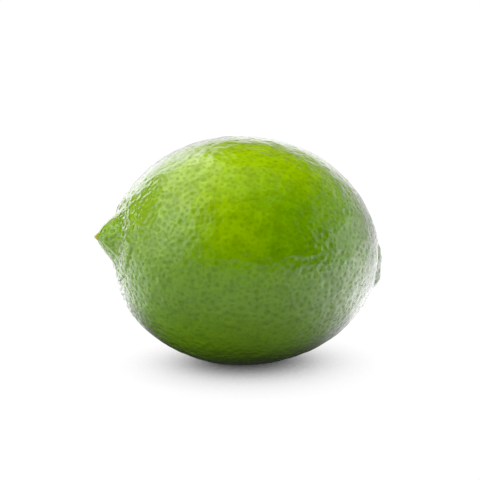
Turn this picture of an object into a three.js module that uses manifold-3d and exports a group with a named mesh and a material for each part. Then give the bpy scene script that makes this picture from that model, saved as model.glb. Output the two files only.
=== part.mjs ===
// A whole lime lying on its side. The fruit grew as one piece, so it is one solid: a short oval body,
// the nipple at its blossom end with the dry tip of the style, and at the stem end a low furrowed
// collar round the pit that the stalk left. It rests on a small flat under its belly.
//
// Millimetres and degrees. +X runs from the nipple to the stem end, +Z is up, and the origin is under
// the middle of the fruit, on the surface that it lies on.

import * as THREE from "three";
import { mergeVertices } from "three/addons/utils/BufferGeometryUtils.js";
import Module from "manifold-3d";

// Driving dimensions
const WIDTH = 52; // across the belly
const BLOSSOM_HALF = 29.3; // belly to the body's end, under the nipple
const STEM_HALF = 30.9; // belly to the body's end, under the collar
const BLOSSOM_FULLNESS = 0.89; // below 1 the end is blunter than an ellipse
const STEM_FULLNESS = 1.03; // above 1 it is more pointed
const TILT = 4.8; // the nipple end lies a little higher than the stem end
const FOOT_DEPTH = 0.4; // how much of the belly the flat takes off
const CUTTER_SPAN = 3 * WIDTH; // of the slab that cuts the flat, which only has to be wider than the fruit

const NIPPLE = { height: 3.8, radius: 5.5, fillet: 0.05, lift: 2.3 };
const STYLE_TIP = { height: 1.1, radius: 1.1, fillet: 0.08 };
const COLLAR = { height: 1.1, radius: 2.6, width: 2.1, drop: 1.9 };
const STEM_PIT = { depth: 1.3, radius: 2.1, fillet: 0.25 };
const SHIFT_START = 0.92; // share of a half, from where the nipple is lifted and the collar dropped

// Long shallow waves of the whole form, and the ribs that run out of each end
const LOBES = [
  { count: 2, depth: 0.2, phase: 20 },
  { count: 3, depth: 0.35, phase: 140 },
  { count: 5, depth: 0.05, phase: 140 },
];
const STEM_RIBS = [
  { count: 5, depth: 0.32, phase: 12 },
  { count: 8, depth: 0.2, phase: 50 },
];
const NIPPLE_RIBS = [
  { count: 4, depth: 0.12, phase: 30 },
  { count: 7, depth: 0.08, phase: 0 },
];
const STEM_RIB_REACH = 5.5; // from the axis, where the ribs are deepest
const NIPPLE_RIB_REACH = 5;
const LUMPS = { count: 14, height: 0.08, shortest: 13, longest: 28, seed: 11 };

// Facets
const ROWS = 66; // from the nipple to the stem pit
const SEGMENTS = 80; // round the fruit
const END_CROWDING = 0.6; // 0 spaces the rows evenly, 1 packs them at both ends
const MERGE_GAP = 1e-4; // between vertices that are one

const PEEL = new THREE.MeshStandardMaterial({ color: 0x6fa31a, roughness: 0.38, metalness: 0 });

// max(0, x) with its corner rounded off over about `fillet`
const softPositive = (x, fillet) => (x + Math.hypot(x, fillet)) / 2;

// 1 at `middle`, fading to nothing about `width` either side
const bump = (x, middle, width) => Math.exp(-(((x - middle) / width) ** 2));

// How far the nipple and the style's tip stand out of the body's blossom end, at a distance from the axis.
function nippleRise(radius) {
  const dome = softPositive(1 - (radius / NIPPLE.radius) ** 2, NIPPLE.fillet);
  const point = softPositive(1 - radius / STYLE_TIP.radius, STYLE_TIP.fillet);
  return NIPPLE.height * dome + STYLE_TIP.height * point;
}

// How far the collar stands out of the body's stem end, less the pit in its middle.
function collarRise(radius) {
  const ring = COLLAR.height * bump(radius, COLLAR.radius, COLLAR.width);
  const pit = STEM_PIT.depth * Math.min(1, softPositive(1 - (radius / STEM_PIT.radius) ** 2, STEM_PIT.fillet));
  return ring - pit;
}

// Half of the lengthwise section: x is the distance from the axis and y the place along it.
class HalfSection extends THREE.Curve {
  getPoint(share, target = new THREE.Vector2()) {
    const crowded = share - (END_CROWDING * Math.sin(2 * Math.PI * share)) / (2 * Math.PI);
    const angle = Math.PI * crowded;
    const blossomSide = share < 0.5;
    const fullness = blossomSide ? BLOSSOM_FULLNESS : STEM_FULLNESS;
    const radius = (WIDTH / 2) * Math.max(0, Math.sin(angle)) ** fullness;
    const along = blossomSide
      ? -BLOSSOM_HALF * Math.cos(angle) - nippleRise(radius)
      : -STEM_HALF * Math.cos(angle) + collarRise(radius);
    return target.set(radius, along);
  }
}

// The height of a set of waves round the axis
function waves(set, angle) {
  return set.reduce(
    (sum, { count, depth, phase }) => sum + depth * Math.cos(count * angle + THREE.MathUtils.degToRad(phase)),
    0,
  );
}

// Waves in fixed random directions, whose sum is a gentle, uneven lumpiness.
function lumpWaves() {
  const random = () => THREE.MathUtils.seededRandom();
  THREE.MathUtils.seededRandom(LUMPS.seed);
  return Array.from({ length: LUMPS.count }, () => {
    const direction = new THREE.Vector3(random() - 0.5, random() - 0.5, random() - 0.5).normalize();
    const length = THREE.MathUtils.lerp(LUMPS.shortest, LUMPS.longest, random());
    return { vector: direction.multiplyScalar((2 * Math.PI) / length), phase: 2 * Math.PI * random() };
  });
}

const lumpHeight = (point, set) =>
  (LUMPS.height / Math.sqrt(set.length / 2)) *
  set.reduce((sum, { vector, phase }) => sum + Math.sin(vector.dot(point) + phase), 0);

// How far a place along the axis goes up with the nipple, or down with the collar.
function endShift(along) {
  const { smoothstep } = THREE.MathUtils;
  const lift = NIPPLE.lift * smoothstep(-along, SHIFT_START * BLOSSOM_HALF, BLOSSOM_HALF);
  const drop = COLLAR.drop * smoothstep(along, SHIFT_START * STEM_HALF, STEM_HALF);
  return lift - drop;
}

// Moves each vertex of the turned body to where the uneven fruit has it.
function growUnevenly(geometry) {
  const lumps = lumpWaves();
  const points = geometry.getAttribute("position");
  const point = new THREE.Vector3();
  const outward = new THREE.Vector3();
  for (let i = 0; i < points.count; i += 1) {
    point.fromBufferAttribute(points, i);
    const radius = Math.hypot(point.y, point.z);
    const angle = Math.atan2(point.z, point.y);
    const share = radius / (WIDTH / 2);
    const ribs =
      point.x < 0
        ? waves(NIPPLE_RIBS, angle) * bump(radius, NIPPLE_RIB_REACH, NIPPLE_RIB_REACH / 2)
        : waves(STEM_RIBS, angle) * bump(radius, STEM_RIB_REACH, STEM_RIB_REACH / 2);
    outward.set((point.x / STEM_HALF) * (1 - share * share), (share * point.y) / WIDTH, (share * point.z) / WIDTH);
    if (outward.lengthSq() > 0) outward.normalize();
    const height = waves(LOBES, angle) * share ** 2 + ribs + lumpHeight(point, lumps);
    const shift = endShift(point.x);
    point.addScaledVector(outward, height);
    points.setXYZ(i, point.x, point.y, point.z + shift);
  }
}

function fruitGeometry() {
  const lathe = new THREE.LatheGeometry(new HalfSection().getPoints(ROWS), SEGMENTS);
  lathe.deleteAttribute("normal");
  lathe.deleteAttribute("uv");
  const body = mergeVertices(lathe, MERGE_GAP);
  body.rotateZ(-Math.PI / 2);
  growUnevenly(body);
  body.rotateY(THREE.MathUtils.degToRad(TILT));
  return body;
}

// Whole triangles only: a turned body has a flat one at each pole that merging leaves without area.
function toSolid(wasm, geometry) {
  const index = geometry.getIndex().array;
  const whole = [];
  for (let i = 0; i < index.length; i += 3) {
    const [a, b, c] = index.subarray(i, i + 3);
    if (a !== b && b !== c && c !== a) whole.push(a, b, c);
  }
  const vertProperties = new Float32Array(geometry.getAttribute("position").array);
  return new wasm.Manifold(new wasm.Mesh({ numProp: 3, vertProperties, triVerts: new Uint32Array(whole) }));
}

function toGeometry(solid) {
  const mesh = solid.getMesh();
  const geometry = new THREE.BufferGeometry();
  geometry.setAttribute("position", new THREE.BufferAttribute(new Float32Array(mesh.vertProperties), 3));
  geometry.setIndex(new THREE.BufferAttribute(new Uint32Array(mesh.triVerts), 1));
  geometry.computeVertexNormals();
  return geometry;
}

// Takes the flat off the belly, level with the surface that the lime lies on.
function cutFoot(wasm, fruit) {
  fruit.computeBoundingBox();
  const floor = fruit.boundingBox.min.z + FOOT_DEPTH;
  const slab = new THREE.BoxGeometry(CUTTER_SPAN, CUTTER_SPAN, WIDTH);
  slab.deleteAttribute("normal");
  slab.deleteAttribute("uv");
  slab.translate(0, 0, floor - WIDTH / 2);
  return toGeometry(toSolid(wasm, fruit).subtract(toSolid(wasm, mergeVertices(slab))));
}

async function makeLime() {
  const wasm = await Module();
  wasm.setup();
  const geometry = cutFoot(wasm, fruitGeometry());
  geometry.computeBoundingBox();
  const middle = geometry.boundingBox.getCenter(new THREE.Vector3());
  const lime = new THREE.Mesh(geometry, PEEL);
  lime.name = "lime";
  lime.position.set(-middle.x, -middle.y, -geometry.boundingBox.min.z);
  return lime;
}

const part = new THREE.Group();
part.add(await makeLime());

export default part;
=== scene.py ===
"""A whole lime on a white studio floor: a fine dimpled peel over the CAD solid, its wax and the studio.

Lengths are in metres. +X runs from the nipple to the stem end and +Z is up.
"""

import math
import random
from typing import NamedTuple

import bpy
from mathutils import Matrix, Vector, kdtree, noise


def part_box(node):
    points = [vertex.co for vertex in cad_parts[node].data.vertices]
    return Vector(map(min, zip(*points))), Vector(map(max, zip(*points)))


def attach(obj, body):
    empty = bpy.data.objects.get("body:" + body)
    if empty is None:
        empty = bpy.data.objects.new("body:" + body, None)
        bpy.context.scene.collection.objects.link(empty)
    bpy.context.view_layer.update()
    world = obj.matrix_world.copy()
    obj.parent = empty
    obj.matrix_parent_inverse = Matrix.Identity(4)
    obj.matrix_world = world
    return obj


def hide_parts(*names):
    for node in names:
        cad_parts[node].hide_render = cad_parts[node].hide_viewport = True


MM = 0.001

# The net of the peel: an icosphere, each of whose edges is cut again
PEEL_LEVELS = 6
PEEL_CUTS = 2
NET_LENGTH = 0.93  # of the net before it is wrapped, as a share of the fruit's length
NIPPLE_WAY = Vector((-1, 0, 0.17))  # from the middle of the fruit
COLLAR_WAY = Vector((1, 0, -0.1))
GATHER_REACH = 0.38  # radians from an end, within which the net is finer
GATHER = 0.56  # how far a vertex close to the end moves towards it, as a share
MERGE_GAP = 0.005 * MM  # between vertices of the solid that are one
FORM_LEVELS = 2  # how often the solid's facets are halved while they are rounded
SMOOTHING = 0.5  # how far a round moves a vertex towards the middle of its neighbours

# Oil glands, each at the bottom of a dimple
GLAND_SEED = 5
LARGEST_DIMPLE = 1.2 * MM  # both are radii
SMALLEST_DIMPLE = 0.5 * MM
DIMPLE_CROWDING = 0.8  # below 1, neighbours run into each other and leave a narrow ridge between
NEAREST_GLANDS = 4  # how many a vertex is compared with, to find the one whose dimple it is in
OWN_VERTEX = 1e-3  # the share of a dimple's radius within which a vertex is the gland's own
END_DIMPLES = 0.22  # how much smaller the dimples are on the nipple and the collar
DIMPLE_DEPTH = 0.072  # as a share of the radius

# How much deeper the dimples get, as a share, and the two distances between which they do
NIPPLE_SIDE_DEPTH = (0.42, 8 * MM, 22 * MM)  # along the fruit, from its middle
NIPPLE_DEPTH = (0.98, 22 * MM, 28 * MM)
COLLAR_DEPTH = (0.5, 22 * MM, 30 * MM)
CROWN_DEPTH = (-0.72, 40 * MM, 49 * MM)  # above the floor

# The skin's own unevenness between the dimples: each wave's length and height
LEATHER_WAVES = ((1.4 * MM, 0.05 * MM), (2.4 * MM, 0.1 * MM), (5.5 * MM, 0.09 * MM))

# The two ends: how far along from the middle the rest of the peel gives way to them
END_START = 23 * MM
END_FULL = 29 * MM
SOFT_FADE = (7 * MM, 10 * MM)  # radii between which the rounding of an end fades out
SHARP_STYLE = (2 * MM, 4 * MM)  # and between which it sets in round the style's tip
SOFT_ROUNDS = 60
FURROW_COUNT = 6
FURROW_BEND = 3  # how much the furrows change on their way in
FURROW_CORE = 0.1 * MM  # the radius inside which they run together
RING_WANDER_LENGTH = 3.5 * MM


class Ring(NamedTuple):
    """A swelling round one end of the fruit, or a fold where its height is below zero."""

    radius: float
    width: float
    height: float


class End(NamedTuple):
    """One end of the fruit: the furrows that run into its middle, and the rings round it."""

    middle: Vector
    furrow_depth: float
    furrow_reach: float
    rings: tuple
    ring_wander: float  # how far the rings stray from a circle


NIPPLE = End(
    middle=Vector((-0.0328, 0.0002, 0.0304)),
    furrow_depth=0.06 * MM,
    furrow_reach=10 * MM,
    rings=(Ring(8 * MM, 2.1 * MM, 0.4 * MM),),
    ring_wander=1.6 * MM,
)
COLLAR = End(
    middle=Vector((0.0307, 0, 0.0212)),  # the bottom of the pit where the stalk was
    furrow_depth=0.16 * MM,
    furrow_reach=9 * MM,
    rings=(Ring(4.9 * MM, 1.3 * MM, 0.3 * MM), Ring(6.9 * MM, 0.7 * MM, -0.34 * MM)),
    ring_wander=1 * MM,
)
WRINKLES = Ring(6.8 * MM, 2.6 * MM, 0.24 * MM)  # the small ridges round the nipple's foot
WRINKLE_LENGTH = 0.95 * MM

# The peel's colours, as linear light, on the ridges and in the hollows, whose darker colour is partly the
# glands' own and partly painted shade in the dimples
GREEN_RIDGE = (0.21, 0.425, 0, 1)
GREEN_HOLLOW = (0.155, 0.33, 0, 1)
YELLOW_RIDGE = (0.43, 0.625, 0, 1)
YELLOW_HOLLOW = (0.3, 0.45, 0, 1)
GLAND_DOT = (0.34, 0.39, 0, 1)
DRY_COLLAR = (0.12, 0.2, 0.03, 1)
STALK_SCAR = (0.3, 0.24, 0.1, 1)
DRY_STYLE = (0.5, 0.46, 0.06, 1)
BLACK = (0, 0, 0, 1)
WHITE = (1, 1, 1, 1)

# Uneven patterns: how many waves a metre, and how many finer layers
YELLOWING_PATCHES = (60, 3)
MOTTLE = (380, 3)
FRECKLES = (1900, 1)
PORE_WOBBLE = (900, 1)
WAX_GRAIN = (2200, 2)

# Between which two distances the colours change
# The peel is yellower and lighter higher up, between these two heights
YELLOWING_HEIGHTS = (20 * MM, 55 * MM)  # above the floor
YELLOWING_WANDER = 30 * MM  # how far its border strays up and down
# Painted shade: the peel turns a deeper green towards the two ends, between these distances
SHADED_NIPPLE_END = (4 * MM, 30 * MM)  # along the fruit, from its middle
SHADED_COLLAR_END = (17 * MM, 34 * MM)
STYLE_RADIUS = 1.1 * MM  # of the dry tip
STYLE_FADE = (0.6 * STYLE_RADIUS, 1.3 * STYLE_RADIUS)
COLLAR_FADE = (4 * MM, 7.5 * MM)
SCAR_RADIUS = 2 * MM
SCAR_FADE = (0.7 * SCAR_RADIUS, 1.2 * SCAR_RADIUS)
DRY_FADE = (2 * MM, 7.5 * MM)  # where the wax sets in round the stalk's scar

# Painted shade, a deeper green on two patches: the middle of each patch, its radius and how deep
SHADE_PATCHES = (
    (Vector((0.0125, -0.0205, 0.0375)), 16 * MM, 1),  # the cheek
    (Vector((-0.019, 0, 0.047)), 10 * MM, 0.7),  # the shoulder over the nipple
)
PATCH_GREENING = 0.5

# How much each thing turns the colour of the ridges into that of the hollows; in the pores and the spots this
# is partly painted shade
PORE_SHADE = 0.45
SPOT_SHADE = 0.4
HOLLOW_SHADE = 0.8
UPPER_HOLLOW_SHADE = 0.6  # and how much more where the peel is yellower
MOTTLE_SHADE = 2.6
FRECKLE_SHADE = 1.2
# The patches and the two ends turn it by painted shade
PATCH_SHADE = 0.75
NIPPLE_SHADE = 0.85
COLLAR_SHADE = 0.5
DOT_CLEARNESS = 0.2  # and how much of its own colour the gland's dot and the collar show
COLLAR_DRYNESS = 0.6

# The fine relief of the wax, and how thin it is over a gland
GRAIN_HEIGHT = 0.014  # in millimetres, as the bump counts
PORE_DEPTH = 0.032
PORE_EDGE = (0, 0.85)  # as shares of the dimple's radius
PORE_WANDER = 1.05 * MM  # how far a pore's edge strays
SPOT_EDGE = (0, 0.75 * MM)  # the peel is a deeper green over a gland
DOT_EDGE = (0.06 * MM, 0.195 * MM)  # the clear dot in the middle of it
WAX_ROUGHNESS = 0.16
BARE_ROUGHNESS = 0.5
BARE_SPECULAR = 0.05
PEEL_IOR = 1.45
SPREAD = 0.3 * MM  # how far light spreads inside the peel
SPREAD_COLOUR = (1, 1, 0.4)
BARE_PORES = 0.55  # how much of the wax is missing in a pore
BARE_COLLAR = 0.8
GRAZING = (0.4, 0.95)  # how far the peel is turned away where the painted shade along its outline starts, and where it is deepest
GRAZING_SHADE = 0.88

# The camera. Angles are in degrees, and its own azimuth is counted from -Y, with -X below zero.
CAMERA_AZIMUTH = -12.5
CAMERA_ELEVATION = 12.5
CAMERA_DISTANCE = 0.56
VIEW_WIDTH = 0.10769  # of the field of view, at the fruit
LOOK_AT = Vector((0.00019, -0.00004, 0.02813))
NEAREST_VIEW = 0.01

# The floor, a white table top that glows evenly, with the lime's shadow painted into its glow: how bright it
# looks, by the share of the sky that a place on it sees
FLOOR_PAINTED_SHADOW = (
    (0, 0.02),
    (0.13, 0.24),
    (0.18, 0.42),
    (0.25, 0.57),
    (0.31, 0.69),
    (0.38, 0.78),
    (0.5, 0.9),
    (0.6, 0.96),
    (0.72, 1),
)
FLOOR_SIZE = 6
FLOOR_BRIGHTNESS = 1.03
SKY_SAMPLES = 8
SKY_REACH = 30 * MM  # how far from the lime its shade goes
# These two shift the painted shadow: further towards the camera, and lighter to the left
FRONT_REACH = 30 * MM
FRONT_SHADE = 3  # how much sky each metre towards the camera takes off, up to that reach
LEFT_LIGHT = 2  # and how much each metre to the left adds


# What lights the peel. From here on azimuths are counted from the camera, with left below zero.
SHINE = 1.2  # how much brighter the peel's gloss shows the floor and the room than they are


class Glow(NamedTuple):
    """A stretch of the floor that lights the peel. It may get dimmer towards the horizon."""

    brightness: float
    across: tuple  # the azimuth of its middle, and its width
    clear: tuple  # between which distances from the shadow's middle it comes up
    dimming: float = 0


LEFT = (-104, 31)
LEFT_FRONT = (-65, 30)
LEFT_BACK = (-152, 28)
LEFT_BACK_AGAIN = (208, 28)  # the same stretch, counted the other way round
BACK = (180, 40)
BACK_AGAIN = (-180, 40)
RIGHT = (93, 35)
RIGHT_BACK = (140, 19)
LEFT_GLINT = (-106, 22)
HORIZON = (120 * MM, 400 * MM)  # the distances between which it gets dimmer
HORIZON_DIMMING = 0.38
BACK_DIMMING = 0.6

SHADOW_MIDDLE = Vector((-4 * MM, 4 * MM, 0))
SHADOW_EDGE = (16 * MM, 55 * MM)
BACK_EDGE = (6 * MM, 28 * MM)
RIGHT_EDGE = (21.5 * MM, 61 * MM)
RIGHT_BACK_EDGE = (50 * MM, 120 * MM)
GLINT_EDGE = (10 * MM, 21 * MM)
GLOSS_EVEN = 0.82  # all round
GLOSS_LEAST = 0.03  # in the shadow itself
GLOSS_GLOWS = (
    Glow(1.65, LEFT, SHADOW_EDGE, HORIZON_DIMMING),
    Glow(0.1, LEFT_FRONT, SHADOW_EDGE, HORIZON_DIMMING),
    Glow(0.35, BACK, SHADOW_EDGE, HORIZON_DIMMING),
    Glow(0.35, BACK_AGAIN, SHADOW_EDGE, HORIZON_DIMMING),
    Glow(0.9, LEFT_BACK, BACK_EDGE, BACK_DIMMING),
    Glow(0.9, LEFT_BACK_AGAIN, BACK_EDGE, BACK_DIMMING),
    Glow(0.16, LEFT_GLINT, GLINT_EDGE),
    Glow(0.5, RIGHT_BACK, RIGHT_BACK_EDGE),
    Glow(3.4, RIGHT, RIGHT_EDGE),
)

# The light that the floor casts, which has a shadow of its own
BOUNCE_MIDDLE = Vector((-3 * MM, -17 * MM, 0))
BOUNCE_EDGE = (6 * MM, 20 * MM)
BOUNCE_EVEN = 0.31
BOUNCE_LEAST = 0.16
BOUNCE_GLOWS = (
    Glow(1.7, LEFT, BOUNCE_EDGE),
    Glow(0.8, LEFT_BACK, BOUNCE_EDGE),
    Glow(0.8, LEFT_BACK_AGAIN, BOUNCE_EDGE),
    Glow(0.3, LEFT_FRONT, BOUNCE_EDGE),
)

# The room
CEILING_EDGE = (58, 80)
CEILING_BRIGHTNESS = 0.4
SHUTTER_SLANT = 0.75  # how much the shutter's left edge leans, in degrees a degree of height
SHUTTER_EDGE = (-120, -106)
SHUTTER_DARKNESS = 0.92
LAMP_AZIMUTH = -26
LAMP_ELEVATION = 75
LAMP_NARROWNESS = 4.4
LAMP_STRENGTH = 3.88
LAMP_BOTTOM = (-1, 0)  # where its light ends, at the height of the floor

OPEN_LEFT = (-181, -180)  # edges that a panel doesn't have
OPEN_RIGHT = (180, 181)
OPEN_BOTTOM = (-90, -89)


class Panel(NamedTuple):
    """A bright part of the room, whose edges each fade between two angles."""

    brightness: float
    left: tuple
    right: tuple
    bottom: tuple
    top: tuple


SHUTTERED_PANELS = (
    Panel(2.05, (-174, -156), (-70, -14), OPEN_BOTTOM, (45, 81)),  # the left wall
    Panel(0.95, (-176, -158), (-66, -38), (14, 26), (44, 58)),  # the window in it
    Panel(1.15, (-174, -150), (-122, -108), OPEN_BOTTOM, (14, 32)),  # its bright far end
)
OPEN_PANELS = (
    Panel(0.8, (-181, -166), (-100, -60), (48, 62), (80, 90)),  # the top of the left wall
    Panel(1.7, OPEN_LEFT, (-172, -156), (-6, 8), (24, 40)),  # the back wall's left end
    Panel(0.6, (152, 162), OPEN_RIGHT, (-6, 6), (18, 34)),  # and its right end
    Panel(1, (68, 80), (112, 132), OPEN_BOTTOM, (18, 26)),  # the card on the right
    Panel(0.7, (70, 82), OPEN_RIGHT, OPEN_BOTTOM, (14, 26)),  # the low wall on the right
    Panel(0.6, (66, 80), OPEN_RIGHT, OPEN_BOTTOM, (32, 46)),  # a taller, dimmer one
    Panel(0.75, (-62, -12), (46, 64), OPEN_BOTTOM, (0, 7)),  # the low strip in front
)
SHUTTER = Panel(1, OPEN_LEFT, (-96, -87), (2, 14), (34, 50))  # what it covers, not a light


# Modelling


def select_only(*pieces):
    """Selects these objects and makes the first one active."""
    bpy.ops.object.select_all(action="DESELECT")
    for piece in pieces:
        piece.select_set(True)
    bpy.context.view_layer.objects.active = pieces[0]


def edit(piece, *operations):
    """Runs edit-mode operators on all of a piece."""
    select_only(piece)
    bpy.ops.object.mode_set(mode="EDIT")
    bpy.ops.mesh.select_all(action="SELECT")
    for operation, settings in operations:
        operation(**settings)
    bpy.ops.object.mode_set(mode="OBJECT")


def modify(piece, kind, **settings):
    """Adds a modifier and applies it."""
    select_only(piece)
    modifier = piece.modifiers.new(kind.title(), kind)
    for name, value in settings.items():
        setattr(modifier, name, value)
    bpy.ops.object.modifier_apply(modifier=modifier.name)


def rise(value, low, high):
    """0 below low, 1 above high and a smooth rise between them."""
    share = min(max((value - low) / (high - low), 0), 1)
    return share * share * (3 - 2 * share)


def swell(ring, radius):
    """The height of a ring at a distance from the middle of its end."""
    return ring.height * math.exp(-(((radius - ring.radius) / ring.width) ** 2))


def nearer_end(place):
    return NIPPLE if place.x < 0 else COLLAR


def smooth_form(node):
    """A copy of the CAD solid with its facets rounded into one smooth surface."""
    form = node.copy()
    form.data = node.data.copy()
    form.name = "smooth_form"
    form.parent = None
    bpy.context.scene.collection.objects.link(form)
    edit(
        form,
        (bpy.ops.mesh.remove_doubles, {"threshold": MERGE_GAP}),
        (bpy.ops.mesh.tris_convert_to_quads, {}),
    )
    modify(form, "SUBSURF", levels=FORM_LEVELS, render_levels=FORM_LEVELS)
    return form


def gather_at_ends(sphere):
    """Draws the net of a unit sphere together round the two small ends, which need it finer."""
    for way in (NIPPLE_WAY.normalized(), COLLAR_WAY.normalized()):
        for vertex in sphere.data.vertices:
            share = vertex.co.angle(way) / GATHER_REACH
            vertex.co = vertex.co.lerp(way, GATHER * math.exp(-share * share)).normalized()


def soften_ends(peel):
    """Rounds the fold at the foot of the nipple and the rim of the collar, but not the style's tip."""
    soft = peel.vertex_groups.new(name="soft")
    for vertex in peel.data.vertices:
        middle = nearer_end(vertex.co).middle
        radius = math.hypot(vertex.co.y - middle.y, vertex.co.z - middle.z)
        softness = 1 - rise(radius, *SOFT_FADE)
        if vertex.co.x < 0:
            softness *= rise(radius, *SHARP_STYLE)
        if abs(vertex.co.x) > END_START and softness > 0:
            soft.add([vertex.index], softness, "REPLACE")
    modify(peel, "SMOOTH", factor=SMOOTHING, iterations=SOFT_ROUNDS, vertex_group="soft")
    peel.vertex_groups.clear()


def peel_net(form):
    """A net of small triangles on the smooth form, finer at the two ends."""
    low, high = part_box("lime")
    middle = (low + high) / 2
    half = (high - low) / 2
    bpy.ops.object.select_all(action="DESELECT")
    bpy.ops.mesh.primitive_ico_sphere_add(subdivisions=PEEL_LEVELS, radius=1)
    peel = bpy.context.active_object
    peel.name = "lime_peel"
    edit(peel, (bpy.ops.mesh.subdivide, {"number_cuts": PEEL_CUTS, "smoothness": 1}))
    gather_at_ends(peel)
    select_only(peel)
    bpy.ops.transform.resize(value=(half.x * NET_LENGTH, half.y, half.z))
    bpy.ops.transform.translate(value=middle)
    bpy.ops.object.transform_apply(location=True, rotation=True, scale=True)
    modify(
        peel,
        "SHRINKWRAP",
        target=form,
        wrap_method="PROJECT",
        use_negative_direction=True,
        use_positive_direction=True,
    )
    modify(peel, "SMOOTH", factor=SMOOTHING, iterations=1)
    soften_ends(peel)
    return peel


def dimple_size(place):
    """How large a dimple is, as a share of what its age gives it: smaller at the two ends."""
    return 1 - END_DIMPLES * rise(abs(place.x), END_START, END_FULL)


def dimple_depth(place):
    """How deep a dimple is for its radius: deeper towards the two ends and shallower on the crown."""

    def deepening(amount, start, full, distance):
        return amount * rise(distance, start, full)

    ends = (
        deepening(*NIPPLE_SIDE_DEPTH, -place.x)
        + deepening(*NIPPLE_DEPTH, -place.x)
        + deepening(*COLLAR_DEPTH, place.x)
    )
    crown = deepening(*CROWN_DEPTH, place.z)
    return DIMPLE_DEPTH * (1 + ends) * (1 + crown)


def end_height(place):
    """The furrows of the end that a place is nearer to, deepest halfway in, its wrinkles and its rings."""
    end = nearer_end(place)
    offset = place - end.middle
    radius = math.hypot(offset.y, offset.z)
    if radius > end.furrow_reach or abs(place.x) < END_START:
        return 0
    share = radius / end.furrow_reach
    around = Vector((offset.y, offset.z)) / max(radius, FURROW_CORE) * FURROW_COUNT
    ripple = noise.noise(Vector((*around, share * FURROW_BEND)))
    halfway = 4 * share * (1 - share)
    height = end.furrow_depth * ripple * halfway
    if end is NIPPLE:
        height += noise.noise(place / WRINKLE_LENGTH) * swell(WRINKLES, radius)
    strayed = radius + noise.noise(place / RING_WANDER_LENGTH) * end.ring_wander
    return height + sum(swell(ring, strayed) for ring in end.rings)


def scatter_glands(peel):
    """Places and radii of round dimples that fill the peel: the large ones first, the small ones between."""
    rng = random.Random(GLAND_SEED)
    order = list(range(len(peel.data.vertices)))
    rng.shuffle(order)
    cell_size = 2 * LARGEST_DIMPLE
    cells = {}
    glands = []
    for number, index in enumerate(order):
        place = peel.data.vertices[index].co
        age = number / len(order)
        radius = SMALLEST_DIMPLE + (LARGEST_DIMPLE - SMALLEST_DIMPLE) * rng.random() * (1 - age)
        radius *= dimple_size(place)
        cell = tuple(math.floor(c / cell_size) for c in place)
        near = (
            cells.get((cell[0] + i, cell[1] + j, cell[2] + k), ())
            for i in (-1, 0, 1)
            for j in (-1, 0, 1)
            for k in (-1, 0, 1)
        )
        neighbours = (gland for group in near for gland in group)
        if all((place - other).length > DIMPLE_CROWDING * (radius + reach) for other, reach in neighbours):
            gland = (place.copy(), radius)
            cells.setdefault(cell, []).append(gland)
            glands.append(gland)
    return glands


def dent_glands(peel, glands):
    """Sinks a dimple at each gland, and keeps for the material where each facet's gland is and how big."""
    tree = kdtree.KDTree(len(glands))
    for index, (place, radius) in enumerate(glands):
        tree.insert(place, index)
    tree.balance()
    mesh = peel.data
    normals = [vertex.normal.copy() for vertex in mesh.vertices]
    owners = []
    sunk = [place for place, radius in glands]
    for vertex, normal in zip(mesh.vertices, normals):
        found = tree.find_n(vertex.co, NEAREST_GLANDS)
        share, index = min((distance / glands[index][1], index) for place, index, distance in found)
        owners.append((share, index))
        bowl = max(0, 1 - share * share) ** 2
        leather = sum(noise.noise(vertex.co / wave) * height for wave, height in LEATHER_WAVES)
        depth = dimple_depth(vertex.co) * glands[index][1]
        vertex.co += normal * (leather + end_height(vertex.co) - depth * bowl)
        vertex.co.z = max(vertex.co.z, 0)
        if share < OWN_VERTEX:
            sunk[index] = vertex.co.copy()
    radii = mesh.attributes.new("dimple_radius", "FLOAT", "FACE")
    places = mesh.attributes.new("gland_place", "FLOAT_VECTOR", "FACE")
    for polygon in mesh.polygons:
        share, index = min(owners[corner] for corner in polygon.vertices)
        radii.data[polygon.index].value = glands[index][1]
        places.data[polygon.index].vector = sunk[index]


def make_peel(node):
    """The whole fruit as it is seen: one closed skin that replaces the CAD solid."""
    form = smooth_form(node)
    peel = peel_net(form)
    glands = scatter_glands(peel)
    dent_glands(peel, glands)
    bpy.data.objects.remove(form)
    select_only(peel)
    bpy.ops.object.shade_smooth()
    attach(peel, "root")
    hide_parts("lime")
    return peel


# Shader maths


class Socket:
    """A node's output, or a number, that Python operators turn into Math nodes."""

    def __init__(self, graph, link):
        self.graph = graph
        self.link = link

    def math(self, operation, *others):
        values = [self, *others]
        return self.graph.node("ShaderNodeMath", {"operation": operation}, dict(enumerate(values)))

    def __add__(self, other):
        return self.math("ADD", other)

    __radd__ = __add__

    def __mul__(self, other):
        return self.math("MULTIPLY", other)

    __rmul__ = __mul__

    def __sub__(self, other):
        return self.math("SUBTRACT", other)

    def __rsub__(self, other):
        return Socket(self.graph, other).math("SUBTRACT", self)

    def __truediv__(self, other):
        return self.math("DIVIDE", other)


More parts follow.
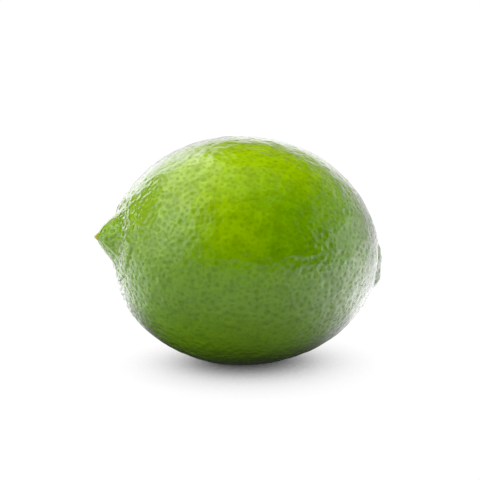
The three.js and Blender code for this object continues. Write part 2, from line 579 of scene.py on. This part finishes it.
class Graph:
    """The node tree of a material or of the world."""

    def __init__(self, owner):
        owner.use_nodes = True
        self.tree = owner.node_tree
        self.tree.nodes.clear()

    def node(self, kind, settings=None, sockets=None, output=0):
        made = self.tree.nodes.new(kind)
        for name, value in (settings or {}).items():
            if name == "stops":
                self.set_stops(made.color_ramp, value)
            else:
                setattr(made, name, value)
        for name, value in (sockets or {}).items():
            self.feed(made.inputs[name], value)
        return Socket(self, made.outputs[output]) if made.outputs else made

    def feed(self, target, value):
        if isinstance(value, Socket):
            value = value.link
        if isinstance(value, bpy.types.NodeSocket):
            self.tree.links.new(value, target)
        else:
            target.default_value = value

    def set_stops(self, ramp, stops):
        while len(ramp.elements) < len(stops):
            ramp.elements.new(1)
        for element, (position, colour) in zip(ramp.elements, stops):
            element.position = position
            element.color = colour

    def mix(self, factor, first, second):
        return self.node(
            "ShaderNodeMix",
            {"data_type": "RGBA"},
            {0: factor, 6: first, 7: second},
            output=2,
        )

    def mix_shader(self, factor, first, second):
        return self.node("ShaderNodeMixShader", sockets={0: factor, 1: first, 2: second})

    def pattern(self, place, scale, detail):
        """An uneven pattern of values about 0."""
        sockets = {"Vector": place, "Scale": scale, "Detail": detail}
        return self.node("ShaderNodeTexNoise", sockets=sockets) - 0.5

    def axes(self, vector):
        parts = self.node("ShaderNodeSeparateXYZ", sockets={0: vector}).link.node
        return [Socket(self, output) for output in parts.outputs]

    def step(self, value, low, high):
        """0 below low, 1 above high and a smooth rise between them."""
        return self.node(
            "ShaderNodeMapRange",
            {"interpolation_type": "SMOOTHSTEP"},
            {"Value": value, "From Min": low, "From Max": high},
        )

    def distance(self, first, second):
        return self.node("ShaderNodeVectorMath", {"operation": "DISTANCE"}, {0: first, 1: second}, output=1)

    def bell(self, value, middle, width):
        """1 at the middle, falling to nothing about twice the width away."""
        share = (value - middle) / width
        return (share * share * -1).math("EXPONENT")


# Materials


def peel_colour(graph, place, tip, hollowness, dot):
    """Yellower and lighter higher up and greener below, darker green in painted shade towards the ends and on
    the two patches, and dry at the very ends.
    """
    patches = graph.pattern(place, *YELLOWING_PATCHES)
    mottle = graph.pattern(place, *MOTTLE)
    freckles = graph.pattern(place, *FRECKLES)
    along, _, height = graph.axes(place)
    # Painted shade: a deeper green on the cheek and on the shoulder over the nipple
    green = sum(
        graph.bell(graph.distance(place, middle), 0, radius) * depth
        for middle, radius, depth in SHADE_PATCHES
    )
    # Painted shade on the two ends
    nipple = graph.step(along * -1, *SHADED_NIPPLE_END) * NIPPLE_SHADE
    collar = graph.step(along, *SHADED_COLLAR_END) * COLLAR_SHADE
    # Yellower and lighter higher up
    yellowing = graph.step(height + patches * YELLOWING_WANDER, *YELLOWING_HEIGHTS) - green * PATCH_GREENING
    ridge = graph.mix(yellowing, GREEN_RIDGE, YELLOW_RIDGE)
    hollow = graph.mix(yellowing, GREEN_HOLLOW, YELLOW_HOLLOW)
    unevenness = mottle * MOTTLE_SHADE + freckles * FRECKLE_SHADE
    # Darker in the dimples: partly the glands' own colour, partly painted shade
    dimples = hollowness * (yellowing * UPPER_HOLLOW_SHADE + HOLLOW_SHADE)
    colour = graph.mix(dimples + unevenness + green * PATCH_SHADE + nipple + collar, ridge, hollow)
    colour = graph.mix(dot * DOT_CLEARNESS, colour, GLAND_DOT)
    from_scar = graph.distance(place, COLLAR.middle)
    colour = graph.mix((1 - graph.step(from_scar, *COLLAR_FADE)) * COLLAR_DRYNESS, colour, DRY_COLLAR)
    colour = graph.mix(1 - graph.step(from_scar, *SCAR_FADE), colour, STALK_SCAR)
    from_tip = graph.distance(place, tip)
    return graph.mix(1 - graph.step(from_tip, *STYLE_FADE), colour, DRY_STYLE)


def peel_material(tip):
    """Waxy peel: glossy on the ridges, barer in the pores and dry round the stalk's scar, with painted shade
    along its outline.
    """
    material = bpy.data.materials.new("waxy_peel")
    graph = Graph(material)
    place = graph.node("ShaderNodeTexCoord", output="Object")
    radius = graph.node("ShaderNodeAttribute", {"attribute_name": "dimple_radius"}, output="Fac")
    centre = graph.node("ShaderNodeAttribute", {"attribute_name": "gland_place"}, output="Vector")
    offset = graph.distance(place, centre) + graph.pattern(place, *PORE_WOBBLE) * PORE_WANDER
    size = radius / LARGEST_DIMPLE
    pore = 1 - graph.step(offset / radius, *PORE_EDGE)
    spot = (1 - graph.step(offset, *SPOT_EDGE)) * size
    dot = 1 - graph.step(offset, *DOT_EDGE)
    height = graph.pattern(place, *WAX_GRAIN) * GRAIN_HEIGHT - pore * size * PORE_DEPTH
    bump = graph.node("ShaderNodeBump", sockets={"Strength": 1, "Distance": MM, "Height": height})
    gloss = {"IOR": PEEL_IOR, "Normal": bump}
    skin = {
        **gloss,
        "Base Color": peel_colour(graph, place, tip, pore * PORE_SHADE + spot * SPOT_SHADE, dot),
        "Subsurface Weight": 1,
        "Subsurface Radius": SPREAD_COLOUR,
        "Subsurface Scale": SPREAD,
    }
    waxed = graph.node("ShaderNodeBsdfPrincipled", sockets={**skin, "Roughness": WAX_ROUGHNESS})
    bare = graph.node(
        "ShaderNodeBsdfPrincipled",
        sockets={**skin, "Roughness": BARE_ROUGHNESS, "Specular IOR Level": BARE_SPECULAR},
    )
    # Painted shade along the outline: a black peel that keeps only the gloss, mixed in where the peel turns
    # away from the eye
    outline_shade_film = graph.node(
        "ShaderNodeBsdfPrincipled",
        sockets={**gloss, "Base Color": BLACK, "Roughness": WAX_ROUGHNESS},
    )
    dry = 1 - graph.step(graph.distance(place, COLLAR.middle), *DRY_FADE)
    unwaxed = (pore * BARE_PORES).math("MAXIMUM", dry * BARE_COLLAR)
    peel = graph.mix_shader(unwaxed, waxed, bare)
    facing = graph.node("ShaderNodeLayerWeight", output="Facing")
    outline_shade = graph.step(facing, *GRAZING) * (1 - dry) * GRAZING_SHADE
    graph.node("ShaderNodeOutputMaterial", sockets={"Surface": graph.mix_shader(outline_shade, peel, outline_shade_film)})
    return material


def from_camera(x, y):
    """How far a level direction goes towards the camera, and how far to its right."""
    turned = math.radians(CAMERA_AZIMUTH)
    ahead = y * -math.cos(turned) + x * math.sin(turned)
    aside = x * math.cos(turned) + y * math.sin(turned)
    return ahead, aside


def camera_azimuth(ahead, aside):
    """The azimuth of a direction, in degrees, counted from the camera to the right."""
    return aside.math("ARCTAN2", ahead) * (180 / math.pi)


def studio_rays(graph, shown, cast):
    """1 for a ray from the camera, and the light for any other: what gloss shows, or what is cast."""
    path = graph.node("ShaderNodeLightPath").link.node
    camera_ray = Socket(graph, path.outputs["Is Camera Ray"])
    glossy_ray = Socket(graph, path.outputs["Is Glossy Ray"])
    return camera_ray, glossy_ray * shown * SHINE + (1 - glossy_ray) * cast


def glow_light(graph, azimuth, distance, glows):
    """The light of several stretches of the floor, at an azimuth and a distance from the shadow's middle."""
    far = graph.step(distance, *HORIZON)
    return sum(
        graph.bell(azimuth, *glow.across)
        * graph.step(distance, *glow.clear)
        * (1 - far * glow.dimming)
        * glow.brightness
        for glow in glows
    )


def floor_light(graph, place, azimuth):
    """What the peel's gloss shows of the floor, and the light that the floor casts on the peel."""
    from_shadow = graph.distance(place, SHADOW_MIDDLE)
    lit = graph.step(from_shadow, *SHADOW_EDGE)
    even = lit * (1 - graph.step(from_shadow, *HORIZON) * HORIZON_DIMMING) * GLOSS_EVEN
    shown = glow_light(graph, azimuth, from_shadow, GLOSS_GLOWS) + even + GLOSS_LEAST
    from_bounce = graph.distance(place, BOUNCE_MIDDLE)
    even = graph.step(from_bounce, *BOUNCE_EDGE) * BOUNCE_EVEN
    cast = glow_light(graph, azimuth, from_bounce, BOUNCE_GLOWS) + even + BOUNCE_LEAST
    return shown, cast


def floor_material():
    """A white floor that glows evenly but for the lime's shadow, which is painted into its glow, and lights
    the peel unevenly.
    """
    material = bpy.data.materials.new("white_table")
    material.cycles.emission_sampling = "NONE"
    graph = Graph(material)
    place = graph.node("ShaderNodeTexCoord", output="Object")
    x, y, _ = graph.axes(place)
    ahead, aside = from_camera(x, y)
    open_sky = graph.node(
        "ShaderNodeAmbientOcclusion",
        {"samples": SKY_SAMPLES},
        {"Distance": SKY_REACH},
        output="AO",
    )
    front = ahead.math("MINIMUM", FRONT_REACH) * FRONT_SHADE
    left = aside.math("MINIMUM", 0) * LEFT_LIGHT
    # The lime's shadow on the floor is painted: the glow's colour follows how much sky a place sees
    shade = graph.node(
        "ShaderNodeValToRGB",
        {"stops": [(at, (grey, grey, grey, 1)) for at, grey in FLOOR_PAINTED_SHADOW]},
        {"Fac": open_sky - front - left},
    )
    shown, cast = floor_light(graph, place, camera_azimuth(ahead, aside))
    camera_ray, unseen = studio_rays(graph, shown, cast)
    seen = graph.node("ShaderNodeEmission", sockets={"Color": shade, "Strength": FLOOR_BRIGHTNESS})
    hidden = graph.node("ShaderNodeEmission", sockets={"Strength": unseen})
    graph.node("ShaderNodeOutputMaterial", sockets={"Surface": graph.mix_shader(camera_ray, hidden, seen)})
    return material


# Studio


def build_floor():
    bpy.ops.object.select_all(action="DESELECT")
    bpy.ops.mesh.primitive_plane_add(size=FLOOR_SIZE)
    floor = bpy.context.active_object
    floor.name = "floor"
    floor.data.materials.append(floor_material())


def build_camera():
    azimuth = math.radians(CAMERA_AZIMUTH)
    elevation = math.radians(CAMERA_ELEVATION)
    back = Vector(
        (
            math.sin(azimuth) * math.cos(elevation),
            -math.cos(azimuth) * math.cos(elevation),
            math.sin(elevation),
        )
    )
    data = bpy.data.cameras.new("camera")
    data.lens = data.sensor_width * CAMERA_DISTANCE / VIEW_WIDTH
    data.clip_start = NEAREST_VIEW
    camera = bpy.data.objects.new("camera", data)
    bpy.context.scene.collection.objects.link(camera)
    camera.location = LOOK_AT + back * CAMERA_DISTANCE
    camera.rotation_euler = back.to_track_quat("Z", "Y").to_euler()
    bpy.context.scene.camera = camera


def room_light(graph, azimuth, elevation):
    """What the peel's gloss shows of the room: its panels, a slanted shutter before some, and the ceiling."""

    def light(panel):
        return (
            graph.step(azimuth, *panel.left)
            * (1 - graph.step(azimuth, *panel.right))
            * graph.step(elevation, *panel.bottom)
            * (1 - graph.step(elevation, *panel.top))
            * panel.brightness
        )

    slant = azimuth + elevation * SHUTTER_SLANT
    shutter = light(SHUTTER) * graph.step(slant, *SHUTTER_EDGE)
    through_gap = sum(light(panel) for panel in SHUTTERED_PANELS) * (1 - shutter * SHUTTER_DARKNESS)
    ceiling = graph.step(elevation, *CEILING_EDGE) * CEILING_BRIGHTNESS
    return through_gap + sum(light(panel) for panel in OPEN_PANELS) + ceiling


def lamp_light(graph, ahead, aside, up, elevation):
    """The light that the room casts on the peel: one wide soft lamp, high on the left."""
    azimuth = math.radians(LAMP_AZIMUTH)
    height = math.radians(LAMP_ELEVATION)
    level = math.cos(height)
    towards = (
        ahead * (math.cos(azimuth) * level) + aside * (math.sin(azimuth) * level) + up * math.sin(height)
    )
    lamp = towards.math("MAXIMUM", 0).math("POWER", LAMP_NARROWNESS)
    return lamp * graph.step(elevation, *LAMP_BOTTOM) * LAMP_STRENGTH


def build_studio_light():
    """A white room, with a lamp for the peel's own colour and the panels that its gloss shows."""
    world = bpy.data.worlds.new("studio")
    world.cycles.sampling_method = "NONE"
    bpy.context.scene.world = world
    graph = Graph(world)
    x, y, up = graph.axes(graph.node("ShaderNodeTexCoord", output="Generated"))
    ahead, aside = from_camera(x, y)
    elevation = up.math("ARCSINE") * (180 / math.pi)
    shown = room_light(graph, camera_azimuth(ahead, aside), elevation)
    cast = lamp_light(graph, ahead, aside, up, elevation)
    camera_ray, unseen = studio_rays(graph, shown, cast)
    strength = unseen * (1 - camera_ray) + camera_ray
    background = graph.node("ShaderNodeBackground", sockets={"Color": WHITE, "Strength": strength})
    graph.node("ShaderNodeOutputWorld", sockets={"Surface": background})


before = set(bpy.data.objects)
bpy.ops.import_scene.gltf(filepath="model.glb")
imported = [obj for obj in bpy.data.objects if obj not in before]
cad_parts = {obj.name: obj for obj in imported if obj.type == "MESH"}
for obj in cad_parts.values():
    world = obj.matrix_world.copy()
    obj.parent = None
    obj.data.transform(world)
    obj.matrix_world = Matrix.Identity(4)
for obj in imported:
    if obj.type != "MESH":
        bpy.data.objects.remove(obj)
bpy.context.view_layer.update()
bpy.context.scene.view_settings.view_transform = "Standard"

build_camera()
lime = make_peel(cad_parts["lime"])
style_tip = min((vertex.co for vertex in lime.data.vertices), key=lambda place: place.x).copy()
lime.data.materials.append(peel_material(style_tip))
build_floor()
build_studio_light()
